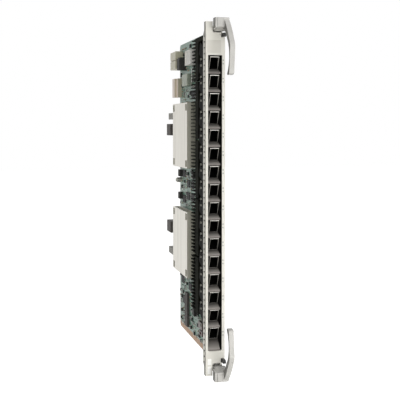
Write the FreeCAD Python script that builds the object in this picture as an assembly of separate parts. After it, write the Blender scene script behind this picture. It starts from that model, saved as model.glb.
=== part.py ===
"""Switch line card: a tall optical card for a chassis slot.

Drawn with X across the card, from the panel's left edge; Y rearwards, from the panel's front
face; Z up, from the panel's bottom end. Millimetres. save() then moves the origin to the card's
datum: the board's lower edge, in the middle of its thickness and in the plane of the panel's back.
"""
import FreeCAD, Part
import math
import os

Vector = FreeCAD.Vector
os.makedirs("parts", exist_ok=True)

# Driving dimensions

panel_height = 393.1
panel_width = 22.4
panel_thickness = 2.0
panel_corner_radius = 0.8
flange_depth = 11.0
flange_thickness = 1.2
flange_end_depth = 6.5          # the flange is cut back at both ends
flange_end_length = 9.0

slot_left = 2.8                 # the long port slot in the panel
slot_right = 18.9
slot_bottom = 27.7
slot_top = panel_height - 36.5
slot_foot_radius = 2.0
slot_head_radius = 0.5

notch_left = 8.0                # corner notches for the levers
lower_notch_height = 13.9
upper_notch_height = 11.9

gasket_thickness = 0.15
gasket_width = 6.8
gasket_setback = 2.2            # from the panel's front face
finger_pitch = 6.35
finger_gap = 0.8
finger_rise = 0.9

port_pitch = 20.15
port_tilt = 25.0                # the module axis falls forwards by this angle
lip_drop = 1.8                  # first cage lip below the top of the slot
lip_setback = 4.9               # cage lip behind the panel's front face
port_count = int((slot_top - lip_drop - slot_bottom) / port_pitch)
bore_length = 48.4              # inside of a cage
bore_width = 14.0
bore_height = 8.95
cage_wall = 0.35
collar_width = 0.3
collar_length = 0.6
lip_finger_width = 1.7
lip_finger_gap = 0.7

board_face = 16.3               # component side of the board
board_thickness = 2.0
board_front = 15.5
board_rear = 193.0
board_bottom = 7.5
board_top = panel_height - 6.1
board_middle = (board_bottom + board_top) / 2
board_corner_cut = 3.0

clearance = 0.15                # between fixed pieces that slip into each other
running_gap = 0.3               # between pieces that move past each other
pin_clearance = 0.05            # radial, pin in its holes

bezel_front = 0.6               # shelves, behind the panel's front face
bezel_rear = 15.0
bezel_rim = 1.0                 # hidden border behind the panel
bezel_cheek_left = 16.9
bezel_cheek_front = 6.0
shelf_edge = 0.8
shelf_curl_radius = 2.0

host_connector_height = 5.5
host_connector_width = 11.2
host_connector_length = 8.5
host_connector_slot = 1.5

light_window_width = 1.2
light_window_height = 1.6
light_window_left = 19.5
light_upper_drop = 3.6          # two windows at each port, below its lip
light_lower_drop = 7.4
light_foot_depth = 4.5
light_peg_setback = 0.3

pivot_depth = 5.5               # lever pivot behind the panel's front face
pivot_inset = 7.0               # lever pivot from the panel's end
pin_radius = 1.5
tongue_radius = 3.4
tongue_left = 11.2
tongue_right = 18.2
ear_thickness = 2.2
ear_radius = 3.1

lever_left = 9.2
lever_right = 22.1
toe_left = 6.9
toe_reach = 16.5
toe_overhang = 2.6
toe_face_height = 10.6
toe_wide_setback = 5.5
toe_recess_border = 1.3         # round the shallow recess in the toe's front
toe_recess_depth = 0.5
base_rise = 3.6                 # top of the base above the pivot
grip_left = 16.6
grip_front = 34.5
grip_elbow = 38.0
grip_elbow_height = 30.0
grip_length = 59.5
grip_end_depth = 8.0
grip_waist = 4.2

latch_left = 18.6
latch_right = 21.8
latch_reach = 7.6
latch_height = 4.2
latch_travel = 1.5
latch_stem_left = 18.0
latch_stem_width = 1.8
latch_stem_height = 2.4
latch_head = 0.8                # how far the head overlaps the panel round its slot
latch_head_thickness = 1.6

bracket_web_depth = 9.0
bracket_web_thickness = 2.0
bracket_web_height = 23.5
lower_bracket_height = 38.0
upper_bracket_height = 16.6
bracket_lug_rear = 47.0
bracket_lug_thickness = 2.4
screw_radius = 1.25
screw_head_radius = 2.4
screw_head_height = 1.6
screw_slot_width = 0.8
screw_slot_depth = 0.7

sink_front = 99.0               # the two silver heat sinks
sink_rear = 178.5
sink_top = 3.0
sink_base_thickness = 2.4
sink_fin_pitch = 3.6
sink_fin_thickness = 0.8
sink_cover = 1.6                # plate over the fins, and the rim round each screw's window
sink_corner = 11.5
upper_sink_bottom = board_middle + 29.55
upper_sink_height = 81.1
lower_sink_height = 81.7
lower_sink_bottom = board_middle - 24.95 - lower_sink_height
silver_sinks = ((upper_sink_bottom, upper_sink_height), (lower_sink_bottom, lower_sink_height))
chip_size = 45.0
chip_thickness = 2.6
spring_length = 4.0             # room under each head for its coil spring
sink_screw_head_radius = 2.8
sink_screw_head_height = 1.2
bolster_thickness = 1.4

row_sink_count = 4              # the black heat sinks behind the cages
row_sink_front = 56.5
row_sink_land = 13.5
row_sink_rear = 92.0
row_sink_bottom = 56.0
row_sink_gap = 2.2
power_sink_height = 49.0        # the shorter sink that ends the row
power_sink_bottom = board_top - 5.0 - power_sink_height
power_sink_nose = 18.0          # its top runs forwards over the first cage
power_sink_nose_height = 5.0
power_sink_rear = 87.0
row_sink_height = (power_sink_bottom - row_sink_bottom) / row_sink_count - row_sink_gap
row_sink_top = 6.2
row_sink_base = 1.8
row_fin_pitch = 4.2
row_fin_thickness = 1.1
row_chip_size = 24.0
row_chip_thickness = 2.4

signal_connector_bottom = board_top - 69.5
upper_key_bottom = signal_connector_bottom - 29.5
lower_key_bottom = board_middle - 91.75
key_height = 8.6
key_wall = 2.2
guide_height = 15.5
upper_guide_bottom = upper_key_bottom - 21.5
lower_guide_bottom = board_middle - 62.25
guide_socket_radius = 2.6
guide_socket_flare = 3.4
guide_socket_depth = 16.0
capacitor_count = 5

# Small geometry helpers


def block(x0, x1, y0, y1, z0, z1):
    return Part.makeBox(x1 - x0, y1 - y0, z1 - z0, Vector(x0, y0, z0))


def rod(radius, start, direction, length):
    return Part.makeCylinder(radius, length, Vector(*start), Vector(*direction))


def side_profile(points, x0, x1):
    """Closed outline of (y, z) points, pulled from x0 to x1."""
    wire = Part.makePolygon([Vector(x0, y, z) for y, z in points + points[:1]])
    return Part.Face(wire).extrude(Vector(x1 - x0, 0, 0))


def plan_profile(points, z0, z1):
    """Closed outline of (x, y) points, pulled from z0 to z1."""
    wire = Part.makePolygon([Vector(x, y, z0) for x, y in points + points[:1]])
    return Part.Face(wire).extrude(Vector(0, 0, z1 - z0))


def join(shapes):
    return shapes[0].multiFuse(shapes[1:]).removeSplitter()


def soften(shape, radius, wanted):
    """Rounds the edges whose centre passes the test."""
    edges = [edge for edge in shape.Edges if wanted(edge.CenterOfMass)]
    return shape.makeFillet(radius, edges)


def to_upper_end(shape):
    return shape.mirror(Vector(0, 0, panel_height / 2), Vector(0, 0, 1))


def on_board(top, y0, y1, z0, z1):
    return block(top, board_face, y0, y1, z0, z1)


def save(node, shape):
    """Writes a node with the origin at the card's datum."""
    placed = shape.copy()
    placed.translate(Vector(-board_face - board_thickness / 2, -panel_thickness, -board_bottom))
    placed.exportStep(f"parts/{node}.step")


# Places worked out from the driving dimensions

tilt = math.radians(port_tilt)
lips = [slot_top - lip_drop - i * port_pitch for i in range(port_count)]
mouth_run = bore_width * math.sin(tilt)         # mouth's foot, behind its lip
mouth_drop = bore_width * math.cos(tilt)
shelf_run = lip_setback + mouth_run - bezel_front
shelf_drop = shelf_run * math.tan(tilt)
bore_left = board_face - cage_wall - bore_height
bore_right = board_face - cage_wall
board_back = board_face + board_thickness
right_flange_left = panel_width - flange_thickness


def along_module(shape, lip):
    """Takes a shape drawn at a lip on the origin, with the module's axis along Y, to its port."""
    placed = shape.copy()
    placed.rotate(Vector(0, 0, 0), Vector(1, 0, 0), port_tilt)
    placed.translate(Vector(0, lip_setback, lip))
    return placed


# Front panel


def latch_slot(notch_height):
    """Slot that the catch's stem slides in, at the lower end."""
    low = latch_bottom(notch_height) + clearance
    return block(latch_stem_left - running_gap, latch_stem_left + latch_stem_width + running_gap,
                 -1, panel_thickness + 1,
                 low - running_gap, low + latch_stem_height + latch_travel + running_gap)


def latch_bottom(notch_height):
    return notch_height + 2 * running_gap


def notch(height):
    return block(notch_left, panel_width + 1, -1, flange_depth + 1, -1, height)


def flange_end_cut():
    """Cut that makes the left flange narrower at the lower end, with a slope above it."""
    slope = flange_depth - flange_end_depth
    outline = [(flange_end_depth, -1), (flange_depth + 1, -1),
               (flange_depth + 1, flange_end_length + slope + 1),
               (flange_end_depth, flange_end_length)]
    return side_profile(outline, -1, flange_thickness + 1)


def at_slot_side(c):
    return abs(c.x - (slot_left + slot_right) / 2) > (slot_right - slot_left) / 2 - 2 * clearance


def front_panel():
    panel = join([
        block(0, panel_width, 0, panel_thickness, 0, panel_height),
        block(0, flange_thickness, 0, flange_depth, 0, panel_height),
        block(right_flange_left, panel_width, 0, flange_depth, 0, panel_height),
    ])
    panel = soften(panel, panel_corner_radius,
                   lambda c: c.y < 0.01 and (c.x < 0.01 or c.x > panel_width - 0.01))
    slot = block(slot_left, slot_right, -1, panel_thickness + 1, slot_bottom, slot_top)
    slot = soften(slot, slot_foot_radius, lambda c: c.z < slot_bottom + 0.1 and at_slot_side(c))
    slot = soften(slot, slot_head_radius, lambda c: c.z > slot_top - 0.1 and at_slot_side(c))
    windows = [
        block(light_window_left, light_window_left + light_window_width, -1, panel_thickness + 1,
              lip - drop - light_window_height / 2, lip - drop + light_window_height / 2)
        for lip in lips for drop in (light_upper_drop, light_lower_drop)
    ]
    cuts = [slot, notch(lower_notch_height), to_upper_end(notch(upper_notch_height)),
            latch_slot(lower_notch_height), to_upper_end(latch_slot(upper_notch_height)),
            flange_end_cut(), to_upper_end(flange_end_cut())] + windows
    return panel.cut(Part.makeCompound(cuts))


def emi_gasket():
    """Strip of bowed spring fingers on the outside of the left flange."""
    inner = gasket_setback
    outer = gasket_setback + gasket_width
    low = flange_end_length + finger_pitch
    count = int((panel_height - 2 * low) / finger_pitch)
    strip = block(-gasket_thickness, 0, inner, inner + gasket_width / 3, low, low + count * finger_pitch)
    crest = (inner + 0.37 * gasket_width, inner + 0.58 * gasket_width)
    bow = [(0, inner), (-finger_rise, crest[0]), (-finger_rise, crest[1]), (0, outer),
           (gasket_thickness - finger_rise, crest[1]), (gasket_thickness - finger_rise, crest[0])]
    fingers = []
    for i in range(count):
        start = low + i * finger_pitch
        fingers.append(plan_profile(bow, start + finger_gap / 2, start + finger_pitch - finger_gap / 2))
    return join([strip] + fingers)


# Port bezel, cages and host connectors


def port_bezel():
    """Moulding behind the slot, with a pocket and a sloping shelf in front of each cage."""
    left = slot_left + clearance
    right = slot_right - clearance
    body = join([
        block(left, right, bezel_front, bezel_rear, slot_bottom + clearance, slot_top - clearance),
        block(left - bezel_rim, light_window_left - clearance, panel_thickness, bezel_rear,
              slot_bottom - bezel_rim, slot_top + bezel_rim),
    ])
    rim_middle = (bezel_front + panel_thickness) / 2
    for radius, z in ((slot_foot_radius, slot_bottom), (slot_head_radius, slot_top)):
        body = soften(body, radius,
                      lambda c: abs(c.y - rim_middle) < 0.1 and abs(c.z - z) < 0.5 and at_slot_side(c))
    cheek = block(bezel_cheek_left, right, bezel_front - 1, bezel_cheek_front, slot_bottom, slot_top)
    reach = shelf_run / math.cos(tilt) + 6
    pocket = block(left, bezel_cheek_left, -reach, 0, -bore_width, 0)
    pocket = pocket.makeFillet(shelf_curl_radius, [
        edge for edge in pocket.Edges
        if edge.CenterOfMass.x > bezel_cheek_left - 0.01 and edge.CenterOfMass.z < 0.01 - bore_width])
    hole = block(bore_left - cage_wall - clearance, board_face + clearance, -1, 2 * bezel_rear,
                 -bore_width - cage_wall - clearance, cage_wall + clearance)
    seat = block(bore_left - cage_wall - collar_width - clearance, board_face + collar_width + clearance / 2,
                 -3 * collar_length, 0, -bore_width - cage_wall - collar_width - clearance,
                 cage_wall + 2 * collar_width + clearance)
    throat_top = port_pitch - mouth_drop - shelf_drop - shelf_edge
    cuts = [cheek]
    for lip in lips:
        cuts.append(along_module(pocket, lip))
        cuts.append(along_module(hole, lip))
        cuts.append(along_module(seat, lip))
        cuts.append(side_profile([(lip_setback, lip), (bezel_front - 1, lip + throat_top),
                                  (bezel_front - 1, lip - mouth_drop), (lip_setback, lip - mouth_drop / 2)],
                                 left, bezel_cheek_left))
    foot = lips[-1] - mouth_drop
    cuts.append(side_profile([(lip_setback + mouth_run, foot), (bezel_front - 1, foot),
                              (bezel_front - 1, slot_bottom + clearance + shelf_edge / 2)],
                             left, bezel_cheek_left))
    return body.cut(Part.makeCompound(cuts))


def port_cage(lip):
    """Thin sheet cage for one pluggable module, open at the mouth, with a spring collar."""
    left = bore_left - cage_wall
    foot = -bore_width - cage_wall
    shell = block(left, board_face, 0, bore_length + cage_wall, foot, cage_wall)
    collar = block(left - collar_width, board_face + collar_width, -collar_length, 0,
                   foot - collar_width, cage_wall + collar_width)
    middle = (bore_left + bore_right) / 2
    step = lip_finger_width + lip_finger_gap
    fingers = [block(middle + k * step - lip_finger_width / 2, middle + k * step + lip_finger_width / 2,
                     -2 * collar_length, -collar_length, cage_wall, cage_wall + 2 * collar_width)
               for k in (-1, 0, 1)]
    bore = block(bore_left, bore_right, -collar_length - 1, bore_length, -bore_width, 0)
    rim = 0.8
    opening = block(bore_right - 1, board_face + 1, bore_length - host_connector_length - 1.5,
                    bore_length - 1, rim - bore_width, -rim)
    cage = join([shell, collar] + fingers).cut(bore).cut(opening)
    return along_module(cage, lip)


def host_connector(lip):
    """Edge connector that the module plugs on to, at the rear of its cage."""
    middle = -bore_width / 2
    rear = bore_length - 1.2
    front = rear - host_connector_length
    low, high = middle - host_connector_width / 2, middle + host_connector_width / 2
    body = block(board_face - host_connector_height, board_face, front, rear, low, high)
    slot_mid = board_face - host_connector_height / 2
    slot = block(slot_mid - host_connector_slot / 2, slot_mid + host_connector_slot / 2,
                 front - 1, front + host_connector_length / 2, low + 1, high - 1)
    return along_module(body.cut(slot), lip)


def light_pipes():
    """Clear bar beside the bezel, with a square peg in each window of the panel."""
    left = light_window_left + clearance
    right = light_window_left + light_window_width - clearance
    top = lips[0]
    bottom = lips[-1] - light_lower_drop - light_window_height
    bar = block(left, right, panel_thickness + 1, board_front, bottom, top)
    foot = block(board_back, right, bezel_rear + clearance, bezel_rear + light_foot_depth, bottom, top)
    half = light_window_height / 2 - clearance
    pegs = [block(left, right, light_peg_setback, panel_thickness + 1, lip - drop - half, lip - drop + half)
            for lip in lips for drop in (light_upper_drop, light_lower_drop)]
    return join([bar, foot] + pegs)


# Lever, catch, pin and bracket, all drawn at the lower end


def lever():
    """Cast ejector lever: tongue on the pin, wide base and toe, one-sided finger grip."""
    face = -2 * running_gap
    toe_top = toe_face_height - toe_overhang
    base = side_profile([(face, 1.5), (face, pivot_inset + base_rise), (-toe_reach, toe_top),
                         (-toe_reach, -toe_overhang), (-4, -toe_overhang)], lever_left, lever_right)
    base = soften(base, 1.5, lambda c: c.y < 1 - toe_reach and abs(c.x - (lever_left + lever_right) / 2) < 1)
    recess = block(lever_left + toe_recess_border, grip_left - toe_recess_border, -toe_reach - 1,
                   toe_recess_depth - toe_reach, toe_recess_border - toe_overhang,
                   toe_top - 1.5 * toe_recess_border)
    toe = side_profile([(-toe_wide_setback, -toe_overhang), (-toe_wide_setback, toe_top + 1.4),
                        (1.2 - toe_reach, toe_top), (1.2 - toe_reach, -toe_overhang)],
                       toe_left, lever_left + 1)
    tongue = join([
        rod(tongue_radius, (tongue_left, pivot_depth, pivot_inset), (1, 0, 0), tongue_right - tongue_left),
        block(tongue_left, tongue_right, face - 2, pivot_depth,
              pivot_inset - tongue_radius, pivot_inset + tongue_radius),
    ])
    hole = rod(pin_radius + pin_clearance, (tongue_left - 1, pivot_depth, pivot_inset), (1, 0, 0),
               tongue_right - tongue_left + 2)
    return join([base, toe, tongue, grip()]).cut(hole).cut(recess)


def grip():
    """Arm and grip: an outline of lines and arcs, pulled across the grip's width."""
    end_back = grip_front - grip_end_depth
    toe_low = (-toe_reach + 2.5, -toe_overhang)
    elbow_low = (-grip_elbow + 3.2, grip_elbow_height - 6.2)
    elbow_high = (-grip_elbow + 0.4, grip_elbow_height + 3.5)
    tip_front = (-grip_front, grip_length - 2.0)
    tip = (-grip_front + 1.5, grip_length)
    tip_back = (-end_back - 1.0, grip_length + 0.6)
    back_high = (-end_back, grip_length - 1.0)
    back_low = (-end_back + 1.2, grip_elbow_height - 9.5)
    root = (-toe_reach + 5.5, toe_face_height - toe_overhang + 0.8)

    def at(point):
        return Vector(grip_left, point[0], point[1])

    def bend(start, middle, end):
        return Part.Arc(at(start), at(middle), at(end)).toShape()

    def straight(start, end):
        return Part.makeLine(at(start), at(end))

    outline = Part.Wire([
        bend(toe_low, (-26.6, 11.4), elbow_low),
        bend(elbow_low, (-grip_elbow + 0.5, grip_elbow_height - 1.2), elbow_high),
        straight(elbow_high, tip_front),
        bend(tip_front, (-grip_front + 0.5, grip_length - 0.5), tip),
        straight(tip, tip_back),
        straight(tip_back, back_high),
        bend(back_high, (-grip_elbow + grip_waist, grip_elbow_height + 9.0), back_low),
        bend(back_low, (-19.5, 13.2), root),
        straight(root, toe_low),
    ])
    return Part.Face(outline).extrude(Vector(lever_right - grip_left, 0, 0))


def latch(notch_height):
    """Black catch: thumb block in front of the panel, stem through its slot, head behind."""
    low = latch_bottom(notch_height)
    high = low + latch_height
    nose = side_profile([(-running_gap, low), (-running_gap, high), (-latch_reach + 2.2, high),
                         (-latch_reach, high - 2.4), (-latch_reach, low + 1.2), (-latch_reach + 1.2, low)],
                        latch_left, latch_right)
    stem_low = low + clearance
    right = latch_stem_left + latch_stem_width
    stem = block(latch_stem_left, right, -running_gap - 1, panel_thickness + 2 * running_gap + 0.6,
                 stem_low, stem_low + latch_stem_height)
    head_front = panel_thickness + running_gap
    head = block(latch_stem_left - running_gap - latch_head, right + running_gap + latch_head,
                 head_front, head_front + latch_head_thickness, stem_low - latch_head + running_gap,
                 stem_low + latch_stem_height + latch_travel + latch_head)
    return join([nose, stem, head])


def bracket(notch_height, height):
    """Cast corner bracket: ears for the pin, a foot on the panel and a lug on the board."""
    web_rear = bracket_web_depth + bracket_web_thickness
    ear_left = tongue_left - running_gap - ear_thickness
    ear_right = tongue_right + running_gap
    foot_right = latch_stem_left - running_gap - latch_head - clearance - 0.5

    def ear(x0):
        plate = block(x0, x0 + ear_thickness, pivot_depth, web_rear,
                      pivot_inset - ear_radius, notch_height + 2)
        return join([plate, rod(ear_radius, (x0, pivot_depth, pivot_inset), (1, 0, 0), ear_thickness)])

    web = block(ear_left, ear_right + ear_thickness, bracket_web_depth, web_rear,
                pivot_inset - ear_radius, bracket_web_height)
    foot = block(flange_thickness + clearance, foot_right, panel_thickness, web_rear,
                 notch_height + 2 * clearance, bracket_web_height)
    lug_left = board_face - bracket_lug_thickness
    lug = side_profile([(bracket_web_depth, pivot_inset - ear_radius + 4),
                        (bracket_lug_rear - 8, board_bottom + 0.5),
                        (bracket_lug_rear, board_bottom + 4), (bracket_lug_rear, height - 3),
                        (bracket_lug_rear - 3, height), (bezel_rear + 2.2, height),
                        (bracket_web_depth, min(height, bracket_web_height))], lug_left, board_face)
    relief = block(lug_left - 1, board_face + 1, 0, bezel_rear + clearance,
                   slot_bottom - bezel_rim - clearance, panel_height / 2)
    body = join([web, foot, lug, ear(ear_left), ear(ear_right)])
    holes = [rod(pin_radius + pin_clearance, (0, pivot_depth, pivot_inset), (1, 0, 0), panel_width)]
    for y, z in bracket_screws(height):
        holes.append(rod(screw_radius, (lug_left - 1, y, z), (1, 0, 0), bracket_lug_thickness + 2))
    return body.cut(Part.makeCompound(holes + [relief]))


def bracket_screws(height):
    return [(bracket_lug_rear - 7, height - 6), (bezel_rear + 8, height - 5)]


def pivot_pin():
    """Headed pin through both ears and the tongue."""
    start = tongue_left - running_gap - ear_thickness
    length = tongue_right - tongue_left + 2 * running_gap + 2 * ear_thickness
    shank = rod(pin_radius, (start - clearance, pivot_depth, pivot_inset), (1, 0, 0), length + 2 * clearance)
    head = rod(pin_radius + 0.8, (start - clearance - 0.6, pivot_depth, pivot_inset), (1, 0, 0), 0.6)
    return join([shank, head])


def screw_slot(top, y, z):
    reach = sink_screw_head_radius + 1
    return block(top - 1, top + screw_slot_depth, y - reach, y + reach,
                 z - screw_slot_width / 2, z + screw_slot_width / 2)


def bracket_screw_group():
    """Screws that hold both brackets to the board."""
    screws = []
    for height, place in ((lower_bracket_height, lambda s: s), (upper_bracket_height, to_upper_end)):
        for y, z in bracket_screws(height):
            top = board_face - bracket_lug_thickness
            shank = rod(screw_radius - clearance, (top, y, z), (1, 0, 0),
                        bracket_lug_thickness + board_thickness + 1)
            head = rod(screw_head_radius, (top - screw_head_height, y, z), (1, 0, 0), screw_head_height)
            screws.append(place(join([shank, head]).cut(screw_slot(top - screw_head_height, y, z))))
    return Part.makeCompound(screws)


# Board and heat sinks


def sink_screw_places():
    inset = sink_corner / 2
    return [(y, z) for bottom, height in silver_sinks
            for y in (sink_front + inset, sink_rear - inset)
            for z in (bottom + inset, bottom + height - inset)]


def main_board():
    c = board_corner_cut
    outline = [(board_front, board_bottom + c), (board_front + c, board_bottom),
               (board_rear - c, board_bottom), (board_rear, board_bottom + c),
               (board_rear, board_top - c), (board_rear - c, board_top),
               (board_front + c, board_top), (board_front, board_top - c)]
    board = side_profile(outline, board_face, board_back)
    places = sink_screw_places() + bracket_screws(lower_bracket_height)
    places += [(y, panel_height - z) for y, z in bracket_screws(upper_bracket_height)]
    return board.cut(Part.makeCompound([
        rod(screw_radius, (board_face - 1, y, z), (1, 0, 0), board_thickness + 2) for y, z in places]))


def silver_heat_sink(bottom, height):
    """Base plate, upright fins and a cover plate, with a window for each corner's spring screw."""
    base_top = board_face - chip_thickness - sink_base_thickness
    base = block(base_top, base_top + sink_base_thickness, sink_front, sink_rear, bottom, bottom + height)
    count = int((sink_rear - sink_front - sink_fin_thickness) / sink_fin_pitch) + 1
    pitch = (sink_rear - sink_front - sink_fin_thickness) / (count - 1)
    fins = []
    for i in range(count):
        front = sink_front + i * pitch
        at_corner = front < sink_front + sink_corner or front > sink_rear - sink_corner - sink_fin_thickness
        trim = sink_corner if at_corner and 0 < i < count - 1 else 0
        fins.append(block(sink_top, base_top, front, front + sink_fin_thickness,
                          bottom + trim, bottom + height - trim))
    cover = block(sink_top, sink_top + sink_cover, sink_front, sink_rear, bottom, bottom + height)
    half = sink_corner / 2 - sink_cover
    cuts = []
    for y, z in sink_screw_places():
        if bottom < z < bottom + height:
            cuts.append(rod(screw_radius, (base_top - 1, y, z), (1, 0, 0), sink_base_thickness + 2))
            cuts.append(block(sink_top - 1, sink_top + sink_cover + 1,
                              y - half, y + half, z - half, z + half))
    return join([base, cover] + fins).cut(Part.makeCompound(cuts))


def big_chip(bottom, height):
    """Flip-chip package under a silver heat sink, with its smaller lid."""
    y = (sink_front + sink_rear - chip_size) / 2
    z = bottom + (height - chip_size) / 2
    lid = 4.0
    return join([
        block(board_face - chip_thickness / 2, board_face, y, y + chip_size, z, z + chip_size),
        block(board_face - chip_thickness, board_face - chip_thickness / 2, y + lid, y + chip_size - lid,
              z + lid, z + chip_size - lid),
    ])


def sink_screw_group():
    """Shoulder screws whose heads stand off the base by a spring's length."""
    head_low = board_face - chip_thickness - sink_base_thickness - spring_length
    screws = []
    for y, z in sink_screw_places():
        head = rod(sink_screw_head_radius, (head_low, y, z), (-1, 0, 0), sink_screw_head_height)
        shank = rod(screw_radius - clearance, (head_low, y, z), (1, 0, 0), board_back - head_low)
        screws.append(join([head, shank]).cut(screw_slot(head_low - sink_screw_head_height, y, z)))
    return Part.makeCompound(screws)


def bolster_plate(bottom, height):
    """Steel plate behind the board, with blind threads for the shoulder screws."""
    return block(board_back, board_back + bolster_thickness, sink_front, sink_rear, bottom, bottom + height)


def row_sink_low(index):
    return row_sink_bottom + index * (row_sink_height + row_sink_gap)


def black_sink(low, height, rear):
    """Black extruded heat sink: level fins behind a flat land for its clip."""
    base_top = board_face - row_chip_thickness - row_sink_base
    base = block(base_top, base_top + row_sink_base, row_sink_front, rear, low, low + height)
    land = block(row_sink_top, base_top, row_sink_front, row_sink_front + row_sink_land, low, low + height)
    count = int((height - row_fin_thickness) / row_fin_pitch) + 1
    margin = (height - row_fin_thickness - (count - 1) * row_fin_pitch) / 2
    fins = [block(row_sink_top, base_top, row_sink_front + row_sink_land, rear,
                  low + margin + k * row_fin_pitch, low + margin + k * row_fin_pitch + row_fin_thickness)
            for k in range(count)]
    return join([base, land] + fins)


def row_chip_group():
    chips = []
    y = (row_sink_front + row_sink_rear - row_chip_size) / 2
    for i in range(row_sink_count):
        z = row_sink_low(i) + (row_sink_height - row_chip_size) / 2
        chips.append(on_board(board_face - row_chip_thickness, y, y + row_chip_size, z, z + row_chip_size))
    return Part.makeCompound(chips)


# Smaller components on the board


def power_heat_sink():
    """Shorter black heat sink at the top of the row, on a foot of its own."""
    inset = 4.0
    foot = on_board(board_face - row_chip_thickness, row_sink_front + inset, power_sink_rear - inset,
                    power_sink_bottom + inset, power_sink_bottom + power_sink_height - inset)
    top = power_sink_bottom + power_sink_height
    nose = block(row_sink_top, board_face - row_chip_thickness - row_sink_base,
                 row_sink_front - power_sink_nose, row_sink_front, top - power_sink_nose_height, top)
    return join([black_sink(power_sink_bottom, power_sink_height, power_sink_rear), foot, nose])


def power_module():
    """Pale block beside the top heat sink, with a raised rim on its top."""
    top, front, wide, low, tall, rim = 5.0, power_sink_rear + 5.0, 27.0, board_top - 33.0, 18.0, 2.0
    body = soften(on_board(top, front, front + wide, low, low + tall), 0.6, lambda c: c.x < top + 0.1)
    return body.cut(block(top - 1, top + 1, front + rim, front + wide - rim, low + rim, low + tall - rim))


def power_connector():
    """Ivory rear power connector: two housings side by side, with blade slots to the rear."""
    top, front, long, slot = 5.5, board_rear - 18.0, 30.0, 1.4
    low, tall, gap = board_top - 32.5, 11.15, 0.8
    housings = []
    for z in (low, low + tall + gap):
        body = soften(on_board(top, front, front + long, z, z + tall), 0.8, lambda c: c.x < top + 0.1)
        slots = [block(top + inset, top + inset + slot, front + 0.6 * long, front + long + 1,
                       z + 2, z + tall - 2) for inset in (2.7, 7.1)]
        housings.append(body.cut(Part.makeCompound(slots)))
    return Part.makeCompound(housings)


def power_filter():
    """Dark choke in front of the power connector."""
    top, front, wide, low, tall = 7.0, board_rear - 35.0, 14.0, board_top - 35.0, 16.0
    return soften(on_board(top, front, front + wide, low, low + tall), 1.5, lambda c: c.x < top + 0.1)


def signal_connector():
    """Beige rear connector with two columns of contact cells."""
    top, front, rear, low = 8.3, board_rear - 10.0, board_rear + 12.0, signal_connector_bottom
    high = low + 25.0
    body = on_board(top, front, rear, low, high)
    step = block(top - 1, top + 2.5, front - 1, front + 8, low - 1, high + 1)
    cell, pitch = 1.8, 3.4
    count = int((high - low - 2) / pitch)
    cells = [block(top + inset, top + inset + cell, rear - 6, rear + 1,
                   low + 1.6 + k * pitch, low + 1.6 + k * pitch + cell)
             for k in range(count) for inset in (1.9, 5.1)]
    return body.cut(step).cut(Part.makeCompound(cells))


def guide_module(low):
    """Dark rear guide block, with a flared round socket for the chassis guide pin."""
    top, front, rear, flare_length = 2.0, board_rear - 3.0, board_rear + 20.0, 3.0
    body = soften(on_board(top, front, rear, low, low + guide_height), 1.0, lambda c: c.x < top + 0.1)
    x, z = (top + board_face) / 2, low + guide_height / 2
    cuts = [Part.makeCone(guide_socket_flare, guide_socket_radius, flare_length,
                          Vector(x, rear, z), Vector(0, -1, 0)),
            rod(guide_socket_radius, (x, rear - flare_length, z), (0, -1, 0),
                guide_socket_depth - flare_length)]
    return body.cut(join(cuts))


def key_block(low):
    """Pale rear connector block beside a guide block."""
    top, front, rear, high = 4.0, board_rear - 9.0, board_rear + 17.0, low + key_height
    body = soften(on_board(top, front, rear, low, high), 0.8, lambda c: c.x < top + 0.1)
    return body.cut(block(top + 3, board_face - 2.8, rear - 8, rear + 1, low + key_wall, high - key_wall))


def rear_standoff():
    """Round spacer at the rear edge of the board."""
    place = (board_face, board_rear - 6.0, board_middle + 9.75)
    return join([rod(3.4, place, (-1, 0, 0), 6.0), rod(2.2, place, (-1, 0, 0), 7.4)])


def capacitor_group():
    """Row of small can capacitors beside the top heat sink row."""
    pitch, radius, tall = 3.6, 1.2, 8.3
    y, low = power_sink_rear + 9.0, board_top - 53.5
    return Part.makeCompound([
        rod(radius, (board_face, y, low + k * pitch), (-1, 0, 0), tall) for k in range(capacitor_count)])


def shielded_can():
    """Pale metal can beside the capacitors."""
    top, front, wide, low, tall = 9.0, sink_front + 27.0, 26.0, board_top - 57.0, 15.0
    return soften(on_board(top, front, front + wide, low, low + tall), 1.0, lambda c: c.x < top + 0.1)


def connector_strip():
    """Long dark connector strip low on the board."""
    top, front, wide, border = 13.0, sink_front + 42.0, 13.0, 2.0
    low, high, groove_wide = board_bottom + 10.5, lower_sink_bottom - 28.6, 2.0
    side = front + (wide - groove_wide) / 2
    groove = block(top - 1, top + 1.5, side, side + groove_wide, low + border, high - border)
    return on_board(top, front, front + wide, low, high).cut(groove)


def relay():
    top, front, wide, low, tall = 11.0, row_sink_front + 1.5, 18.0, board_bottom + 27.5, 8.5
    return soften(on_board(top, front, front + wide, low, low + tall), 0.6, lambda c: c.x < top + 0.1)


def fuse_block():
    top, front, wide, low, tall = 11.6, row_sink_front + 3.5, 14.0, board_bottom + 19.5, 6.0
    recess = block(top - 1, top + 1, front + 3, front + wide - 3, low + 1.5, low + tall - 1.5)
    return on_board(top, front, front + wide, low, low + tall).cut(recess)


def memory_chip_group():
    """Flat chips between the silver heat sinks, above them and low on the board."""
    places = [(13.0, board_middle - 13.25), (13.0, board_middle + 2.75), (35.0, board_middle - 13.25),
              (35.0, board_middle + 2.75), (59.0, board_middle - 18.75), (59.0, board_middle + 14.75),
              (11.0, upper_sink_bottom + upper_sink_height + 6.1), (67.0, lower_sink_bottom - 20.6),
              (27.0, lower_sink_bottom - 22.6), (59.0, lower_sink_bottom - 46.6)]
    wide, tall, thick = 14.0, 9.5, 1.5
    return Part.makeCompound([
        on_board(board_face - thick, sink_front + inset, sink_front + inset + wide, z, z + tall)
        for inset, z in places])


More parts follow.
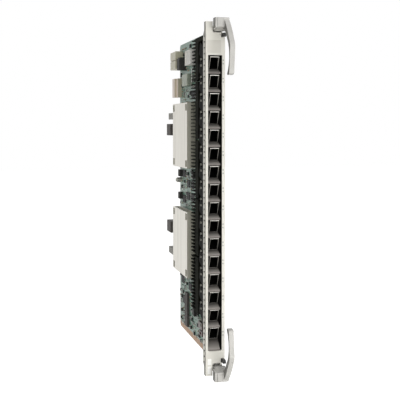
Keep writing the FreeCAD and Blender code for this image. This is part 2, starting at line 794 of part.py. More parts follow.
def inductor_group():
    """Moulded power chokes."""
    places = [(sink_front + 5.0, board_middle + 16.25), (board_rear - 12.0, signal_connector_bottom - 18.5),
              (board_rear - 15.0, board_middle + 14.75), (board_rear - 15.0, board_middle - 15.25),
              (sink_front + 1.0, lower_sink_bottom - 24.6), (sink_front + 1.0, lower_sink_bottom - 48.6)]
    size, thick = 9.0, 4.6
    return Part.makeCompound([
        soften(on_board(board_face - thick, y, y + size, z, z + size), 0.8,
               lambda c: c.x < board_face - thick + 0.1)
        for y, z in places])


# Write the nodes

save("front_panel", front_panel())
save("emi_gasket", emi_gasket())
save("port_bezel", port_bezel())
for number, lip in enumerate(lips, start=1):
    save(f"port_cage_{number:02d}", port_cage(lip))
save("host_connectors", Part.makeCompound([host_connector(lip) for lip in lips]))
save("light_pipes", light_pipes())

save("lower_lever", lever())
save("upper_lever", to_upper_end(lever()))
save("lower_latch", latch(lower_notch_height))
save("upper_latch", to_upper_end(latch(upper_notch_height)))
save("lower_pivot_pin", pivot_pin())
save("upper_pivot_pin", to_upper_end(pivot_pin()))
save("lower_bracket", bracket(lower_notch_height, lower_bracket_height))
save("upper_bracket", to_upper_end(bracket(upper_notch_height, upper_bracket_height)))
save("bracket_screws", bracket_screw_group())

save("main_board", main_board())
for name, (bottom, height) in zip(("upper", "lower"), silver_sinks):
    save(f"{name}_heat_sink", silver_heat_sink(bottom, height))
    save(f"{name}_switch_chip", big_chip(bottom, height))
    save(f"{name}_bolster_plate", bolster_plate(bottom, height))
save("heat_sink_screws", sink_screw_group())
for index in range(row_sink_count):
    save(f"row_heat_sink_{index + 1}", black_sink(row_sink_low(index), row_sink_height, row_sink_rear))
save("row_chips", row_chip_group())

save("power_heat_sink", power_heat_sink())
save("power_module", power_module())
save("power_connector", power_connector())
save("power_filter", power_filter())
save("signal_connector", signal_connector())
save("upper_guide_module", guide_module(upper_guide_bottom))
save("lower_guide_module", guide_module(lower_guide_bottom))
save("upper_key_block", key_block(upper_key_bottom))
save("lower_key_block", key_block(lower_key_bottom))
save("rear_standoff", rear_standoff())
save("capacitors", capacitor_group())
save("shielded_can", shielded_can())
save("connector_strip", connector_strip())
save("relay", relay())
save("fuse_block", fuse_block())
save("memory_chips", memory_chip_group())
save("inductors", inductor_group())
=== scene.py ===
import math
import random

import bmesh
import bpy
from mathutils import Matrix, Vector


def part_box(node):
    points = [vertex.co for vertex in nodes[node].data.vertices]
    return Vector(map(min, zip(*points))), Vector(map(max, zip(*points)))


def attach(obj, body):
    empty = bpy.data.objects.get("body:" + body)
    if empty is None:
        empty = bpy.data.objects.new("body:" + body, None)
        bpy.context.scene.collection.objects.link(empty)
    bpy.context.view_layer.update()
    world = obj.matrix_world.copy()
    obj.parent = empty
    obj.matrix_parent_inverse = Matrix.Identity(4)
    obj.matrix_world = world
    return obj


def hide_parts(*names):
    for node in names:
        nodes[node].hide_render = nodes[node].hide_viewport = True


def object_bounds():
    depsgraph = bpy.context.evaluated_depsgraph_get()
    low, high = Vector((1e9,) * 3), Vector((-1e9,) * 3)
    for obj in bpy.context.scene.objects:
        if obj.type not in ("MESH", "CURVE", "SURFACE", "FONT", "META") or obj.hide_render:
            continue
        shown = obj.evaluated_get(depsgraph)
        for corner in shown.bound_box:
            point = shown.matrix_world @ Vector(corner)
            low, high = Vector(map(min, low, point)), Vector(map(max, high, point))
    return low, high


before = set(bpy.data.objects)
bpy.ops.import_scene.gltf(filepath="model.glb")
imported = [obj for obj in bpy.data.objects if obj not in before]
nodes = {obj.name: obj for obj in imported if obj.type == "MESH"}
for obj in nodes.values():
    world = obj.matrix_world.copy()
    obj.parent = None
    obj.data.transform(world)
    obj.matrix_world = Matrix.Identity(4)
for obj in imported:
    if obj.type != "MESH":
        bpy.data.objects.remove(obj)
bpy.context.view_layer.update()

mm = 0.001


def linearColour(hexText):
    parts = [int(hexText[i:i + 2], 16) / 255 for i in (1, 3, 5)]
    return tuple(c / 12.92 if c <= 0.04045 else ((c + 0.055) / 1.055) ** 2.4 for c in parts) + (1.0,)


def outputOf(given):
    # a node stands for the first of its outputs that is in use
    return next(o for o in given.outputs if o.enabled) if isinstance(given, bpy.types.Node) else given


def addNode(tree, kind, inputs=None, **settings):
    node = tree.nodes.new(kind)
    for name, value in settings.items():
        setattr(node, name, value)
    for socket, value in (inputs or {}).items():
        value = outputOf(value)
        if isinstance(value, bpy.types.NodeSocket):
            tree.links.new(value, node.inputs[socket])
        elif isinstance(value, str) and value.startswith("#"):
            node.inputs[socket].default_value = linearColour(value)
        else:
            node.inputs[socket].default_value = value
    return node


# finishes

def newMaterial(name, values):
    material = bpy.data.materials.new(name)
    material.use_nodes = True
    tree = material.node_tree
    shader = tree.nodes["Principled BSDF"]
    for socket, value in values.items():
        shader.inputs[socket].default_value = value
    return material, tree, shader


def placeOf(tree, stretch=(1, 1, 1)):
    # object coordinates, squeezed where a tool or a die drew the surface along one way
    where = addNode(tree, "ShaderNodeTexCoord").outputs["Object"]
    return addNode(tree, "ShaderNodeMapping", {"Vector": where, "Scale": stretch})


def facingOf(tree):
    # the three parts of the surface's normal
    normal = addNode(tree, "ShaderNodeNewGeometry").outputs["Normal"]
    return addNode(tree, "ShaderNodeSeparateXYZ", {"Vector": normal}).outputs


skinSockets = {"colour": "Base Color", "rough": "Roughness", "metal": "Metallic"}


def dressSkin(tree, shader, relief, depth, strength=1.0, **sockets):
    # the relief is as deep as depth, in millimetres; the other sockets take what their nodes give
    bump = addNode(tree, "ShaderNodeBump", {"Height": relief, "Distance": depth * mm, "Strength": strength})
    tree.links.new(bump.outputs["Normal"], shader.inputs["Normal"])
    for word, value in sockets.items():
        tree.links.new(outputOf(value), shader.inputs[skinSockets[word]])


def makeFinish(name, look):
    metal = look.get("metal", 0.0)
    material, tree, shader = newMaterial(name, {"Metallic": metal, "Specular IOR Level": look.get("specular", 0.5)})
    place = placeOf(tree, look.get("stretch", (1, 1, 1)))
    tone = addNode(tree, "ShaderNodeTexNoise", {"Vector": place, "Scale": 1 / (look["mottle"] * mm), "Detail": 3.0})
    blend = addNode(tree, "ShaderNodeValToRGB", {"Fac": tone})
    blend.color_ramp.elements[0].position = 0.36
    blend.color_ramp.elements[1].position = 0.64
    blend.color_ramp.elements[0].color = linearColour(look["shade"])
    blend.color_ramp.elements[1].color = linearColour(look["colour"])
    skin = {"colour": blend}
    # painted shade: faces turned along the given axis are mixed towards a darker colour and lose their metal,
    # standing for the side that gets less light
    if "paintedShadeSide" in look:
        axis, sign, dull, depth = look["paintedShadeSide"]
        side = addNode(tree, "ShaderNodeMapRange", {"Value": facingOf(tree)[axis], "From Min": 0.55 * sign,
                                                    "From Max": 0.85 * sign, "To Max": depth})
        skin["colour"] = addNode(tree, "ShaderNodeMix", {"Factor": side, "A": skin["colour"], "B": dull},
                                 data_type="RGBA")
        skin["metal"] = addNode(tree, "ShaderNodeMapRange", {"Value": side, "To Min": metal, "To Max": 0.0})
    grain = addNode(tree, "ShaderNodeTexNoise",
                    {"Vector": place, "Scale": 1 / (look["grain"] * mm), "Detail": 4.0, "Roughness": 0.6})
    low, high = look["rough"]
    rough = addNode(tree, "ShaderNodeMapRange", {"Value": grain, "From Min": 0.3, "From Max": 0.7,
                                                 "To Min": low, "To Max": high})
    dressSkin(tree, shader, grain, look["bump"], 0.6, rough=rough, **skin)
    return material


finishLooks = {
    # polyester powder coat on steel: a dry warm-grey skin with a faint orange peel; the faces turned to -X, such as
    # the flange's outer side, are painted a deeper grey as painted shade
    "powderCoat": dict(colour="#DAD8CF", shade="#D3D0C7", mottle=60, grain=1.1, bump=0.04, rough=(0.5, 0.62),
                       paintedShadeSide=("X", -1, "#96948D", 0.9), specular=0.25),
    # satin lacquer over a zinc casting: smooth, with the casting's slow waves; the side towards the
    # ports is painted a deeper grey, painted shade on the faces turned to -X
    "castLacquer": dict(colour="#BDBBB6", shade="#B3B1AC", mottle=14, grain=3.0, bump=0.10, rough=(0.34, 0.46),
                        paintedShadeSide=("X", -1, "#716F6A", 0.95), specular=0.25),
    # bright tin-plated spring sheet: a soft metal shine broken by fine roll lines
    "springSheet": dict(colour="#B7B5AC", shade="#9B9990", mottle=5, grain=0.5, bump=0.01,
                        rough=(0.24, 0.40), metal=0.9, stretch=(1, 1, 0.15)),
    # black glass-filled PBT, moulded: nearly matt, with the grit of the fibre at its skin
    "blackMoulding": dict(colour="#1B1A19", shade="#121211", mottle=6, grain=0.35, bump=0.02, rough=(0.45, 0.62)),
    # black acetal thumb catch: the same black with a waxy gleam
    "acetal": dict(colour="#1D1C1C", shade="#141414", mottle=6, grain=0.8, bump=0.02, rough=(0.28, 0.38)),
    # turned steel pin: rings run round it, so the shine is banded
    "turnedSteel": dict(colour="#A9A8A4", shade="#8F8E8A", mottle=2, grain=0.3, bump=0.01,
                        rough=(0.22, 0.36), metal=1.0, stretch=(3, 0.2, 0.2)),
    # raw zinc die casting: dull grey metal with a grainy skin
    "zincCasting": dict(colour="#C2C1BC", shade="#A6A5A0", mottle=4, grain=0.4, bump=0.03,
                        rough=(0.45, 0.62), metal=0.85),
    # zinc-plated steel screw: bright with a slightly cloudy film
    "platedSteel": dict(colour="#B9B7B0", shade="#ABA9A2", mottle=9, grain=0.4, bump=0.006,
                        rough=(0.25, 0.42), metal=1.0),
    # extruded aluminium, clear anodised: pale satin metal with die lines; the side facing -Y is painted darker and
    # less metallic, as painted shade
    "clearAnodised": dict(colour="#DDDAD2", shade="#D2CFC7", mottle=9, grain=0.35, bump=0.012,
                          rough=(0.42, 0.55), metal=0.9, stretch=(0.6, 1, 0.06),
                          paintedShadeSide=("Y", -1, "#B3B1A0", 0.9)),
    # extruded aluminium, black anodised: charcoal with a soft edge shine and the same die lines
    "blackAnodised": dict(colour="#262721", shade="#181915", mottle=7, grain=0.35, bump=0.015,
                          rough=(0.55, 0.7), stretch=(0.6, 0.06, 1), specular=0.01),
    # epoxy mould compound: flat black with a fine sandy skin
    "mouldCompound": dict(colour="#232322", shade="#191919", mottle=5, grain=0.18, bump=0.01, rough=(0.5, 0.7),
                          specular=0.2),
    # nylon connector housing, natural ivory: waxy off-white; the side facing -Y is painted darker, as painted shade
    "ivoryNylon": dict(colour="#DCD8C4", shade="#D0CBB4", mottle=10, grain=0.7, bump=0.015, rough=(0.36, 0.5),
                       paintedShadeSide=("Y", -1, "#A9A58E", 0.8)),
    # liquid-crystal polymer, beige-pink: matt with flow streaks towards the gate; the side facing -Y is painted
    # darker, as painted shade
    "beigePolymer": dict(colour="#FBEDE2", shade="#F4E5D8", mottle=5, grain=0.4, bump=0.015,
                         rough=(0.42, 0.58), stretch=(1, 1, 0.25), paintedShadeSide=("Y", -1, "#BDB39A", 0.85)),
    # dark filled nylon guide block: brown-black and dry
    "guideNylon": dict(colour="#55504D", shade="#474340", mottle=6, grain=0.4, bump=0.02, rough=(0.5, 0.65),
                       specular=0.2),
    # pale grey nylon block
    "paleNylon": dict(colour="#ECEAE3", shade="#E2E0D8", mottle=9, grain=0.6, bump=0.015, rough=(0.4, 0.55)),
    # the same nylon with more carbon in it: a middle grey
    "greyNylon": dict(colour="#A3A19A", shade="#8E8C85", mottle=9, grain=0.6, bump=0.015, rough=(0.45, 0.6),
                      specular=0.2),
    # pressed ferrite and lacquer of a moulded choke: dense dark grey, speckled
    "ferrite": dict(colour="#3B3A38", shade="#252523", mottle=0.6, grain=0.25, bump=0.02, rough=(0.5, 0.7),
                    specular=0.2),
    # deep-drawn aluminium can: clean pale metal, rings from the draw
    "drawnCan": dict(colour="#CFCEC8", shade="#B9B8B1", mottle=4, grain=0.5, bump=0.008,
                     rough=(0.28, 0.42), metal=0.8),
    # tinned steel shield can, oxidised: a grey-green cast over the metal
    "tinnedCan": dict(colour="#A3A89B", shade="#8B9184", mottle=5, grain=0.5, bump=0.01,
                      rough=(0.4, 0.55), metal=0.5),
    # sprung tab of a cage: spring metal painted a dim grey, painted shade to match the shaded sheet round it, with a
    # dim grey glint
    "shadedSpring": dict(colour="#7A7972", shade="#66655F", mottle=1.2, grain=0.3, bump=0.008,
                         rough=(0.4, 0.55), metal=0.6, specular=0.2),
    # red-brown phenolic: hard, dark and slightly glossy
    "phenolic": dict(colour="#4A2A20", shade="#371D16", mottle=3, grain=0.4, bump=0.01, rough=(0.3, 0.42)),
    # gold flash over nickel on a contact: warm bright metal
    "goldFlash": dict(colour="#E3BE6C", shade="#D3AC58", mottle=1, grain=0.3, bump=0.004,
                      rough=(0.2, 0.32), metal=1.0),
    # tin on a lead or an end cap: whitish metal, a little frosted
    "matteTin": dict(colour="#CFCFCB", shade="#B5B5B0", mottle=0.8, grain=0.2, bump=0.004,
                     rough=(0.34, 0.5), metal=0.9),
    # fired ceramic of a chip capacitor: tan and chalky
    "chipCeramic": dict(colour="#A98A66", shade="#8E7152", mottle=2.5, grain=0.2, bump=0.005, rough=(0.4, 0.6)),
    # film label, plain: clean white with a slight tooth
    "filmLabel": dict(colour="#F1F0EC", shade="#E9E8E3", mottle=12, grain=0.25, bump=0.004, rough=(0.5, 0.62)),
    # printed name field, left plain: a shade deeper and smoother than the coat round it
    "blankField": dict(colour="#CBC8BF", shade="#C4C1B7", mottle=18, grain=0.6, bump=0.01, rough=(0.36, 0.46)),
}
finish = {name: makeFinish(name, look) for name, look in finishLooks.items()}


def makeLightPipe():
    # clear polycarbonate: glassy, faintly smoky, so the windows read as small grey dots
    material, tree, shader = newMaterial("clearPolycarbonate", {
        "Base Color": linearColour("#B9C0BA"), "Roughness": 0.18, "IOR": 1.585, "Transmission Weight": 0.6})
    waves = addNode(tree, "ShaderNodeTexNoise", {"Vector": placeOf(tree), "Scale": 1 / (2.0 * mm)})
    dressSkin(tree, shader, waves, 0.02)
    return material


boardLook = dict(resist=("#3F6B58", "#5E8672"), run="#7FA08E", via="#B9BFB4", bare=("#BA8F69", "#CCA787"),
                 cloth=("#B99B6E", "#D6BD90"), region=11, runPitch=0.55, runWidth=0.2, viaPitch=3.1, viaSize=0.11,
                 patch=24, bareHeight=7.5, stain=5, thread=1.2, rough=(0.34, 0.5), bump=0.05)


def makeCircuitBoard():
    # FR4 under green solder resist: copper runs show as paler green ribs, vias as dull tin dots,
    # the cut edge shows the tan glass cloth, and the strip that slides in the guide is bare
    look = boardLook
    material, tree, shader = newMaterial("fr4Board", {"IOR": 1.5})
    place = placeOf(tree)
    axes = addNode(tree, "ShaderNodeSeparateXYZ", {"Vector": place}).outputs
    flat = addNode(tree, "ShaderNodeCombineXYZ", {"X": axes["Y"], "Y": axes["Z"]})
    # runs go up in some regions of the board and across in others, and a third of them have none
    region = addNode(tree, "ShaderNodeTexVoronoi",
                     {"Vector": flat, "Scale": 1 / (look["region"] * mm), "Randomness": 0.7},
                     voronoi_dimensions="2D", distance="CHEBYCHEV")
    pick = addNode(tree, "ShaderNodeSeparateColor", {"Color": region.outputs["Color"]}).outputs
    upright = addNode(tree, "ShaderNodeMath", {0: pick["Red"], 1: 0.5}, operation="GREATER_THAN")
    across = addNode(tree, "ShaderNodeMix", {"Factor": upright, "A": axes["Y"], "B": axes["Z"]})
    runs = addNode(tree, "ShaderNodeMath", {0: across, 1: look["runPitch"] * mm}, operation="PINGPONG")
    run = addNode(tree, "ShaderNodeMath", {0: runs, 1: look["runWidth"] * mm}, operation="LESS_THAN")
    routed = addNode(tree, "ShaderNodeMath", {0: pick["Green"], 1: 0.34}, operation="GREATER_THAN")
    run = addNode(tree, "ShaderNodeMath", {0: run, 1: routed}, operation="MULTIPLY")
    viaField = addNode(tree, "ShaderNodeTexVoronoi",
                       {"Vector": flat, "Scale": 1 / (look["viaPitch"] * mm), "Randomness": 0.85},
                       voronoi_dimensions="2D")
    via = addNode(tree, "ShaderNodeMath", {0: viaField, 1: look["viaSize"]}, operation="LESS_THAN")
    plane = addNode(tree, "ShaderNodeTexNoise", {"Vector": flat, "Scale": 1 / (look["patch"] * mm), "Detail": 2.0})
    pour = addNode(tree, "ShaderNodeMapRange", {"Value": plane, "From Min": 0.46, "From Max": 0.54})
    ground = addNode(tree, "ShaderNodeMix", {"Factor": pour, "A": look["resist"][0], "B": look["resist"][1]},
                     data_type="RGBA")
    resist = addNode(tree, "ShaderNodeMix", {"Factor": run, "A": ground, "B": look["run"]}, data_type="RGBA")
    resist = addNode(tree, "ShaderNodeMix", {"Factor": via, "A": resist, "B": look["via"]}, data_type="RGBA")
    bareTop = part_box("main_board")[0].z + look["bareHeight"] * mm
    bare = addNode(tree, "ShaderNodeMath", {0: axes["Z"], 1: bareTop}, operation="LESS_THAN")
    stain = addNode(tree, "ShaderNodeTexNoise", {"Vector": place, "Scale": 1 / (look["stain"] * mm)})
    bareTone = addNode(tree, "ShaderNodeMix", {"Factor": stain, "A": look["bare"][0], "B": look["bare"][1]},
                       data_type="RGBA")
    face = addNode(tree, "ShaderNodeMix", {"Factor": bare, "A": resist, "B": bareTone}, data_type="RGBA")
    turned = addNode(tree, "ShaderNodeMath", {0: facingOf(tree)["X"]}, operation="ABSOLUTE")
    isFace = addNode(tree, "ShaderNodeMath", {0: turned, 1: 0.5}, operation="GREATER_THAN")
    cloth = addNode(tree, "ShaderNodeTexNoise",
                    {"Vector": placeOf(tree, (8, 0.3, 0.3)), "Scale": 1 / (look["thread"] * mm)})
    edge = addNode(tree, "ShaderNodeMix", {"Factor": cloth, "A": look["cloth"][0], "B": look["cloth"][1]},
                   data_type="RGBA")
    colour = addNode(tree, "ShaderNodeMix", {"Factor": isFace, "A": edge, "B": face}, data_type="RGBA")
    dull = addNode(tree, "ShaderNodeMath", {0: via, 1: bare}, operation="MAXIMUM")
    smooth, coarse = look["rough"]
    rough = addNode(tree, "ShaderNodeMapRange", {"Value": dull, "To Min": smooth, "To Max": coarse})
    relief = addNode(tree, "ShaderNodeMath", {0: run, 1: via}, operation="MAXIMUM")
    dressSkin(tree, shader, relief, look["bump"], 0.7, colour=colour, rough=rough)
    return material


def dressMaskedMetalSkin(tree, shader, look, colour, metal, grain):
    # metal only inside the given mask, and the grain in both gloss and relief
    metal = addNode(tree, "ShaderNodeMath", {0: metal, 1: look["metal"]}, operation="MULTIPLY")
    smooth, coarse = look["rough"]
    rough = addNode(tree, "ShaderNodeMapRange", {"Value": grain, "To Min": smooth, "To Max": coarse})
    dressSkin(tree, shader, grain, look["bump"], colour=colour, metal=metal, rough=rough)


bezelLook = dict(body="#0B0B0A", lip="#76716D", liner=("#ACA6A0", "#C4BFB8"), linerShade="#45423E",
                 shadeStart=0.5, shadeEnd=9.5, lipDepth=0.3, metal=0.4, rough=(0.38, 0.6), grain=0.5, bump=0.02)


def makeBezel():
    # black PBT bezel: the faces turned upwards are painted as a grey metal liner, painted light, while cheeks, roofs
    # and back keep the black, which stands for their shade; the liner is painted darker deeper into each pocket, and
    # a grey lip runs round each port
    look = bezelLook
    material, tree, shader = newMaterial("linedBezel", {"Specular IOR Level": 0.012})
    place = placeOf(tree)
    turned = facingOf(tree)
    # painted light: faces turned upwards take the grey liner and its metal, the rest keep the black
    floor = addNode(tree, "ShaderNodeMapRange", {"Value": turned["Z"], "From Min": 0.45, "From Max": 0.85})
    grain = addNode(tree, "ShaderNodeTexNoise", {"Vector": place, "Scale": 1 / (look["grain"] * mm), "Detail": 4.0})
    depth = addNode(tree, "ShaderNodeSeparateXYZ", {"Vector": place}).outputs["Y"]
    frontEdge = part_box("port_bezel")[0].y
    # painted shade: the liner darkens from near its front edge to deeper in each pocket
    pocketShade = addNode(tree, "ShaderNodeMapRange", {"Value": depth, "From Min": frontEdge + look["shadeStart"] * mm,
                                                "From Max": frontEdge + look["shadeEnd"] * mm})
    liner = addNode(tree, "ShaderNodeMix", {"Factor": grain, "A": look["liner"][0], "B": look["liner"][1]},
                    data_type="RGBA")
    liner = addNode(tree, "ShaderNodeMix", {"Factor": pocketShade, "A": liner, "B": look["linerShade"]}, data_type="RGBA")
    front = addNode(tree, "ShaderNodeMapRange", {"Value": turned["Y"], "From Min": -0.75, "From Max": -0.97})
    nearFront = addNode(tree, "ShaderNodeMath", {0: depth, 1: frontEdge + look["lipDepth"] * mm},
                        operation="LESS_THAN")
    lipMask = addNode(tree, "ShaderNodeMath", {0: nearFront, 1: front}, operation="MULTIPLY")
    colour = addNode(tree, "ShaderNodeMix", {"Factor": floor, "A": look["body"], "B": liner}, data_type="RGBA")
    colour = addNode(tree, "ShaderNodeMix", {"Factor": lipMask, "A": colour, "B": look["lip"]}, data_type="RGBA")
    dressMaskedMetalSkin(tree, shader, look, colour, floor, grain)
    return material


# where a module's axis meets its cage's mouth, worked out from the cages' boxes
port = dict(count=16, tilt=math.radians(25), wall=0.35 * mm, collar=0.3 * mm, bore=14.0 * mm,
            collarLength=1.2 * mm, reach=48.75 * mm)
port["axis"] = Vector((0, math.cos(port["tilt"]), math.sin(port["tilt"])))
port["up"] = Vector((0, -math.sin(port["tilt"]), math.cos(port["tilt"])))


def lipOf(number):
    low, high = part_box(f"port_cage_{number:02d}")
    fingers = port["wall"] + 2 * port["collar"]
    lipY = low.y + port["collarLength"] * port["axis"].y + fingers * math.sin(port["tilt"])
    lipZ = high.z - port["reach"] * port["axis"].z - port["wall"] * port["up"].z
    return Vector(((low.x + high.x) / 2, lipY, lipZ))


lips = [lipOf(number) for number in range(1, port["count"] + 1)]
port["pitch"] = lips[0].z - lips[1].z

# body is painted shade for the sheet deeper in, rim is the grey of the mouth's front faces, painted light, and finger
# is a painted highlight
sheetLook = dict(body="#0D0D0B", rim=("#7B7872", "#8B8882"), finger="#EFEDE6", shadeDepth=0.9, litDepth=0.1,
                 fingerRise=0.15, metal=0.3, rough=(0.28, 0.5), grain=0.6, bump=0.01)


def makeCageSheet():
    # nickel-silver sheet: grey on the rolled mouth's front-facing faces, painted light, a near-white painted
    # highlight on the sprung fingers over it whichever way they face, and behind them painted almost black, painted
    # shade on the cage sides and inside
    look = sheetLook
    material, tree, shader = newMaterial("cageSheet", {"Specular IOR Level": 0.006})
    place = placeOf(tree)
    axes = addNode(tree, "ShaderNodeSeparateXYZ", {"Vector": place}).outputs
    # each point's depth along its own port and its height over that port's lip
    rise = addNode(tree, "ShaderNodeMath", {0: axes["Z"], 1: lips[0].z}, operation="SUBTRACT")
    rise = addNode(tree, "ShaderNodeMath", {0: rise, 1: -0.8 * port["pitch"], 2: 0.2 * port["pitch"]},
                   operation="WRAP")
    inward = addNode(tree, "ShaderNodeMath", {0: axes["Y"], 1: lips[0].y}, operation="SUBTRACT")
    inward = addNode(tree, "ShaderNodeMath", {0: inward, 1: port["axis"].y}, operation="MULTIPLY")
    along = addNode(tree, "ShaderNodeMath", {0: rise, 1: port["axis"].z, 2: inward}, operation="MULTIPLY_ADD")
    height = addNode(tree, "ShaderNodeMath", {0: inward, 1: port["up"].y / port["axis"].y}, operation="MULTIPLY")
    height = addNode(tree, "ShaderNodeMath", {0: rise, 1: port["up"].z, 2: height}, operation="MULTIPLY_ADD")
    # painted shade: a little under a millimetre into the mouth the sheet turns black; at its very edge it keeps the
    # metal colours
    mouth = addNode(tree, "ShaderNodeMapRange", {"Value": along, "From Min": look["shadeDepth"] * mm,
                                                 "From Max": look["litDepth"] * mm})
    rim = addNode(tree, "ShaderNodeMapRange", {"Value": facingOf(tree)["Y"], "From Min": -0.5, "From Max": -0.8})
    fingers = addNode(tree, "ShaderNodeMapRange", {"Value": height, "From Max": look["fingerRise"] * mm})
    # painted light: the front-facing mouth faces and the fingers take the metal colours
    bare = addNode(tree, "ShaderNodeMath", {0: rim, 1: fingers}, operation="MAXIMUM")
    mouth = addNode(tree, "ShaderNodeMath", {0: mouth, 1: bare}, operation="MULTIPLY")
    grain = addNode(tree, "ShaderNodeTexNoise", {"Vector": place, "Scale": 1 / (look["grain"] * mm), "Detail": 3.0})
    bright = addNode(tree, "ShaderNodeMix", {"Factor": grain, "A": look["rim"][0], "B": look["rim"][1]},
                     data_type="RGBA")
    # painted highlight: near-white on the fingers, whichever way they face
    bright = addNode(tree, "ShaderNodeMix", {"Factor": fingers, "A": bright, "B": look["finger"]}, data_type="RGBA")
    colour = addNode(tree, "ShaderNodeMix", {"Factor": mouth, "A": look["body"], "B": bright}, data_type="RGBA")
    dressMaskedMetalSkin(tree, shader, look, colour, mouth, grain)
    return material


finish["clearPolycarbonate"] = makeLightPipe()
finish["fr4Board"] = makeCircuitBoard()
finish["linedBezel"] = makeBezel()
finish["cageSheet"] = makeCageSheet()

nodeFinish = {
    "front_panel": "powderCoat", "emi_gasket": "springSheet", "port_bezel": "linedBezel",
    "host_connectors": "blackMoulding", "light_pipes": "clearPolycarbonate",
    "lower_lever": "castLacquer", "upper_lever": "castLacquer", "lower_latch": "acetal", "upper_latch": "acetal",
    "lower_pivot_pin": "turnedSteel", "upper_pivot_pin": "turnedSteel",
    "lower_bracket": "zincCasting", "upper_bracket": "zincCasting", "bracket_screws": "platedSteel",
    "main_board": "fr4Board", "upper_heat_sink": "clearAnodised", "lower_heat_sink": "clearAnodised",
    "upper_switch_chip": "mouldCompound", "lower_switch_chip": "mouldCompound",
    "upper_bolster_plate": "platedSteel", "lower_bolster_plate": "platedSteel", "heat_sink_screws": "platedSteel",
    "row_chips": "mouldCompound", "power_heat_sink": "blackAnodised", "power_module": "paleNylon",
    "power_connector": "ivoryNylon", "power_filter": "ferrite", "signal_connector": "beigePolymer",
    "upper_guide_module": "guideNylon", "lower_guide_module": "guideNylon",
    "upper_key_block": "greyNylon", "lower_key_block": "greyNylon", "rear_standoff": "drawnCan",
    "capacitors": "drawnCan", "shielded_can": "tinnedCan", "connector_strip": "guideNylon",
    "relay": "phenolic", "fuse_block": "phenolic", "memory_chips": "mouldCompound", "inductors": "ferrite",
}
for name, piece in nodes.items():
    if name.startswith("port_cage"):
        chosen = "cageSheet"
    elif name.startswith("row_heat_sink"):
        chosen = "blackAnodised"
    else:
        chosen = nodeFinish[name]
    if not piece.material_slots:
        piece.data.materials.append(finish[chosen])
    for slot in piece.material_slots:
        slot.material = finish[chosen]
print("finishes on", len(nodes), "frame pieces")


# making and placing pieces

def addObject(name, data):
    thing = bpy.data.objects.new(name, data)
    bpy.context.scene.collection.objects.link(thing)
    return thing


def keepPiece(piece, body, slotName, *replaced):
    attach(piece, body)
    if replaced:
        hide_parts(*replaced)


def pieceFromMesh(name, build, material):
    mesh = bpy.data.meshes.new(name)
    shape = bmesh.new()
    build(shape)
    bmesh.ops.recalc_face_normals(shape, faces=shape.faces)
    shape.to_mesh(mesh)
    shape.free()
    mesh.materials.append(material)
    return addObject(name, mesh)


def bakeModifiers(piece):
    bpy.context.view_layer.update()
    evaluated = piece.evaluated_get(bpy.context.evaluated_depsgraph_get())
    mesh = bpy.data.meshes.new_from_object(evaluated)
    piece.modifiers.clear()
    piece.data = mesh


def newTree(name, sockets):
    tree = bpy.data.node_groups.new(name, "GeometryNodeTree")
    tree.interface.new_socket("Geometry", in_out="INPUT", socket_type="NodeSocketGeometry")
    for label, kind in sockets.items():
        tree.interface.new_socket(label, in_out="INPUT", socket_type="NodeSocket" + kind)
    tree.interface.new_socket("Geometry", in_out="OUTPUT", socket_type="NodeSocketGeometry")
    return tree, addNode(tree, "NodeGroupInput").outputs


def endTree(tree, geometry):
    addNode(tree, "NodeGroupOutput", {"Geometry": geometry})
    return tree


def growPiece(name, tree, points, part):
    # points are (place, turn in radians, size); the tree's inputs take their values from the part,
    # whose sizes are in millimetres and whose finishes are names
    mesh = bpy.data.meshes.new(name)
    mesh.from_pydata([place for place, turn, size in points], [], [])
    turns = mesh.attributes.new("turn", "FLOAT", "POINT")
    sizes = mesh.attributes.new("size", "FLOAT", "POINT")
    for index, (place, turn, size) in enumerate(points):
        turns.data[index].value = turn
        sizes.data[index].value = size
    piece = addObject(name, mesh)
    modifier = piece.modifiers.new("grow", "NODES")
    modifier.node_group = tree
    for item in tree.interface.items_tree:
        if item.in_out == "INPUT" and item.name in part:
            value = part[item.name]
            if item.socket_type == "NodeSocketFloat":
                value *= mm
            elif item.socket_type == "NodeSocketMaterial":
                value = finish[value]
            modifier[item.identifier] = value
    bakeModifiers(piece)
    keepPiece(piece, "card", part["slot"], *part.get("replaced", ()))


def growRibbons(name, points, part):
    # the part's bow is the side view of a bent strip: a smooth curve, or a line with sharp folds
    folded = part.get("folded", False)
    curve = bpy.data.curves.new(name, "CURVE")
    curve.dimensions = "3D"
    curve.resolution_u = 6
    spline = curve.splines.new("POLY" if folded else "BEZIER")
    knots = spline.points if folded else spline.bezier_points
    knots.add(len(part["bow"]) - 1)
    for knot, (x, y) in zip(knots, part["bow"]):
        if folded:
            knot.co = (x * mm, y * mm, 0, 1)
        else:
            knot.co = (x * mm, y * mm, 0)
            knot.handle_left_type = knot.handle_right_type = "AUTO"
    profile = addObject(name + "_bow", curve)
    growPiece(name, trees["ribbon"], points, dict(part, profile=profile))
    bpy.data.objects.remove(profile)


def placeCopies(tree, points, shape, turnAxis):
    turn = addNode(tree, "GeometryNodeInputNamedAttribute", {"Name": "turn"}, data_type="FLOAT")
    size = addNode(tree, "GeometryNodeInputNamedAttribute", {"Name": "size"}, data_type="FLOAT")
    angle = addNode(tree, "ShaderNodeCombineXYZ", {turnAxis: turn})
    cloud = addNode(tree, "GeometryNodeMeshToPoints", {"Mesh": points})
    copies = addNode(tree, "GeometryNodeInstanceOnPoints",
                     {"Points": cloud, "Instance": shape, "Rotation": angle, "Scale": size})
    return addNode(tree, "GeometryNodeRealizeInstances", {"Geometry": copies})


